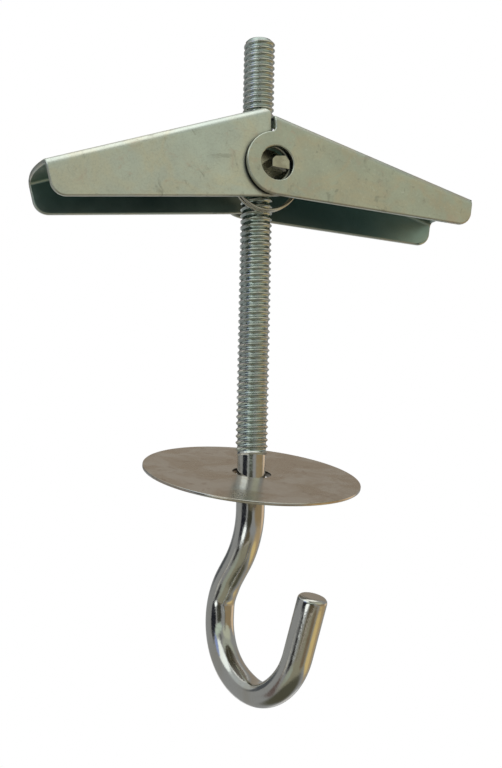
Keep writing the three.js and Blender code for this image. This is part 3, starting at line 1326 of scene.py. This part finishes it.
class Room(Enum):
    """What the metal mirrors, broad tones first and small lights last, each over the last."""

    SKYLIGHT = Patch(0, 90, 400, 38, 0.35, (1.35, 1.40, 1.36))
    DARK_FLOOR = Patch(0, -90, 400, 47, 0.4, (0.10, 0.10, 0.07))
    UPPER_LEFT = Patch(-110, 42, 60, 20, 0.3, (0.52, 0.56, 0.56))
    BACK_WALL = Patch(180, 30, 62, 24, 0.3, (0.34, 0.30, 0.25))
    CEILING = Patch(50, 46, 76, 18, 0.3, (0.44, 0.47, 0.40))
    TAN_WALL = Patch(72, 0, 44, 18, 0.3, (0.34, 0.26, 0.15))
    PALE_WALL = Patch(56, 22, 42, 16, 0.4, (0.58, 0.61, 0.49))
    BRIGHT_CORNER = Patch(124, -2, 22, 14, 0.2, (0.86, 0.66, 0.46))
    TABLE = Patch(0, -42, 84, 22, 0.3, (0.31, 0.30, 0.22))
    TABLE_LEFT = Patch(-44, -38, 24, 12, 0.2, (0.38, 0.42, 0.35))
    TABLE_END = Patch(40, -38, 20, 12, 0.1, (0.22, 0.17, 0.11))
    DARK_CHAIR = Patch(-2, -5, 24, 14, 0.4, (0.055, 0.055, 0.04))
    BROWN_SEAT = Patch(0, -24, 24, 10, 0.4, (0.13, 0.11, 0.07))
    HEDGE = Patch(-12, 13, 38, 8.5, 0.3, (0.62, 0.74, 0.64))
    GREY_FRAME = Patch(-3, 27, 11, 8, 0.2, (0.14, 0.14, 0.14))
    LAMP_GLOW = Patch(104, -24, 54, 20, 0.1, (0.50, 0.38, 0.22))
    GOLD_LAMP = Patch(94, -34, 34, 11, 0.2, (0.78, 0.61, 0.28))
    BROWN_EDGE = Patch(-84, -31, 11, 26, 0.2, (0.16, 0.125, 0.115))
    WINDOW = Patch(-45, 38, 34, 21, 0.5, (1.25, 1.35, 1.32))
    WINDOW_SKY = Patch(-50, 20, 17, 9, 0.3, (0.34, 0.44, 0.80))
    LEFT_CORNER = Patch(-130, 15, 34, 13, 0.3, (0.09, 0.10, 0.11))
    DOORWAY = Patch(-52, 0, 24, 12.5, 0.65, (0.018, 0.02, 0.026))
    SILL = Patch(-53, -20, 15, 8, 0.4, (0.04, 0.04, 0.038))
    LOW_WINDOW = Patch(-33, -13, 15, 7.5, 0.5, (1.5, 1.6, 1.6))
    SMALL_LAMP = Patch(-76, -13, 8, 4.5, 0.2, (0.60, 0.60, 0.55))
    TABLE_EDGE = Patch(4, -30, 24, 1.8, 0.1, (0.60, 0.56, 0.50))
    BACK_LEFT = Patch(-164, -16, 16, 13, 0.3, (0.8, 0.8, 0.8))
    BACK_RIGHT = Patch(163, -36, 22, 15, 0.3, (0.7, 0.7, 0.7))


class Surroundings(Wiring):
    """Builds the nodes of the world round the object."""

    def dot(self, vector: Socket, way: Vector) -> Socket:
        """How far a direction points one way.

        Args:
            vector: the direction.
            way: the way.

        Returns:
            Their dot product.
        """
        node = self.add("ShaderNodeVectorMath", {0: vector, 1: way}, operation="DOT_PRODUCT")
        return node.outputs["Value"]

    def oval(self, turn: Socket, lift: Socket, patch: Patch) -> Socket:
        """How far a direction lies inside a patch: 1 in its core, 0 outside it.

        Args:
            turn: the direction's angle round from the camera, in degrees.
            lift: its angle above the horizon, in degrees.
            patch: the patch.

        Returns:
            The share.
        """
        aside = self.maths("WRAP", self.maths("SUBTRACT", turn, patch.azimuth), 180.0, -180.0)
        across = self.maths("DIVIDE", aside, patch.half_width)
        up = self.maths("DIVIDE", self.maths("SUBTRACT", lift, patch.elevation), patch.half_height)
        wide, high = self.maths("MULTIPLY", across, across), self.maths("MULTIPLY", up, up)
        return self.span(self.maths("ADD", wide, high), 1.0, patch.core)


@dataclass
class Studio:
    """White surroundings, with the room's own tones where the metal mirrors it."""

    view: View
    walls: Colour = (0.33, 0.34, 0.34)
    white: Colour = (1.0, 1.0, 1.0)
    floor_level: float = -300.0
    floor_radius: float = 900.0
    floor_sides: int = 96
    floor_colour: Colour = (0.86, 0.86, 0.85)
    floor_roughness: float = 0.8
    floor_glow: float = 0.45

    def make(self) -> None:
        """Builds the surroundings and the floor."""
        scene = bpy.context.scene
        scene.view_settings.view_transform = "Standard"
        scene.view_settings.look = "None"
        world = bpy.data.worlds.new("studio")
        scene.world = world
        world.use_nodes = True
        nodes = Surroundings(world.node_tree)
        right, _, back = self.view.axes()
        front = Vector((back.x, back.y, 0)).normalized()
        way = nodes.add("ShaderNodeTexCoord").outputs["Generated"]
        turn = nodes.maths("ARCTAN2", nodes.dot(way, right), nodes.dot(way, front))
        lift = nodes.maths("ARCSINE", nodes.dot(way, Vector((0, 0, 1))))
        turn, lift = nodes.maths("DEGREES", turn), nodes.maths("DEGREES", lift)
        colour: Tone = self.walls
        for tone in Room:
            colour = nodes.blend(nodes.oval(turn, lift, tone.value), colour, tone.value.colour)
        seen = nodes.add("ShaderNodeLightPath").outputs["Is Camera Ray"]
        colour = nodes.blend(seen, colour, self.white)
        background = nodes.add("ShaderNodeBackground", {"Color": colour})
        nodes.add("ShaderNodeOutputWorld", {"Surface": background.outputs["Background"]})
        self.lay_floor()

    def lay_floor(self) -> None:
        """Adds the plain pale floor, which the metal doesn't mirror."""
        Bench.clear()
        bpy.ops.mesh.primitive_circle_add(
            vertices=self.floor_sides, radius=self.floor_radius * MM, fill_type="NGON"
        )
        floor = Bench.name("floor")
        floor.location.z = self.floor_level * MM
        Bench.place(floor)
        nodes = Nodes("pale_floor")
        given = {"Base Color": self.floor_colour, "Roughness": self.floor_roughness}
        given |= {"Emission Color": self.white, "Emission Strength": self.floor_glow}
        nodes.fill(nodes.shader, given)
        dress(floor, nodes.material)
        floor.visible_glossy = False


# ---- the assembly


def main() -> None:
    """Builds every piece in order, and reports each one."""
    logging.basicConfig(level=logging.INFO, format="%(name)s: %(message)s")
    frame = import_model()
    Bench.clear()
    view = View()
    view.make()
    Studio(view=view).make()
    nodes = frame["nodes"]
    left_finish = PlatedSheet(
        "zinc_left_wing", (0.72, 0.74, 0.66), (0.75, 0.73, 0.61), (0.68, 0.73, 0.68), seed=0.0
    )
    right_finish = PlatedSheet(
        "zinc_right_wing", (0.62, 0.64, 0.55), (0.66, 0.62, 0.50), (0.59, 0.62, 0.54), seed=0.13
    )
    rod = HookRod().make()
    disc = CoverDisc().make()
    left = Wing("left_wing", left_finish).make(nodes["left_wing"])
    right = Wing("right_wing", right_finish, hang=0.04).make(nodes["right_wing"])
    nut = CrossNut().make(nodes["trunnion_nut"])
    built = [
        (rod, "hook", "hook_rod"),
        (disc, "disc", "cover_disc"),
        (left, "left_wing", "left_wing"),
        (right, "right_wing", "right_wing"),
        (nut, "nut", "trunnion_nut"),
    ]
    for piece, body, node in built:
        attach(piece, body)
        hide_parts(node)
        LOG.info("%s: %d faces", piece.name, len(piece.data.polygons))

    spring = TorsionSpring().make()
    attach(spring["coil"], "nut")
    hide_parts("torsion_spring")
    for side, sign in (("left", -1), ("right", 1)):
        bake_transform(spring[side])
    for piece in spring.values():
        LOG.info("%s: %d faces", piece.name, len(piece.data.polygons))


if __name__ == "__main__":
    main()
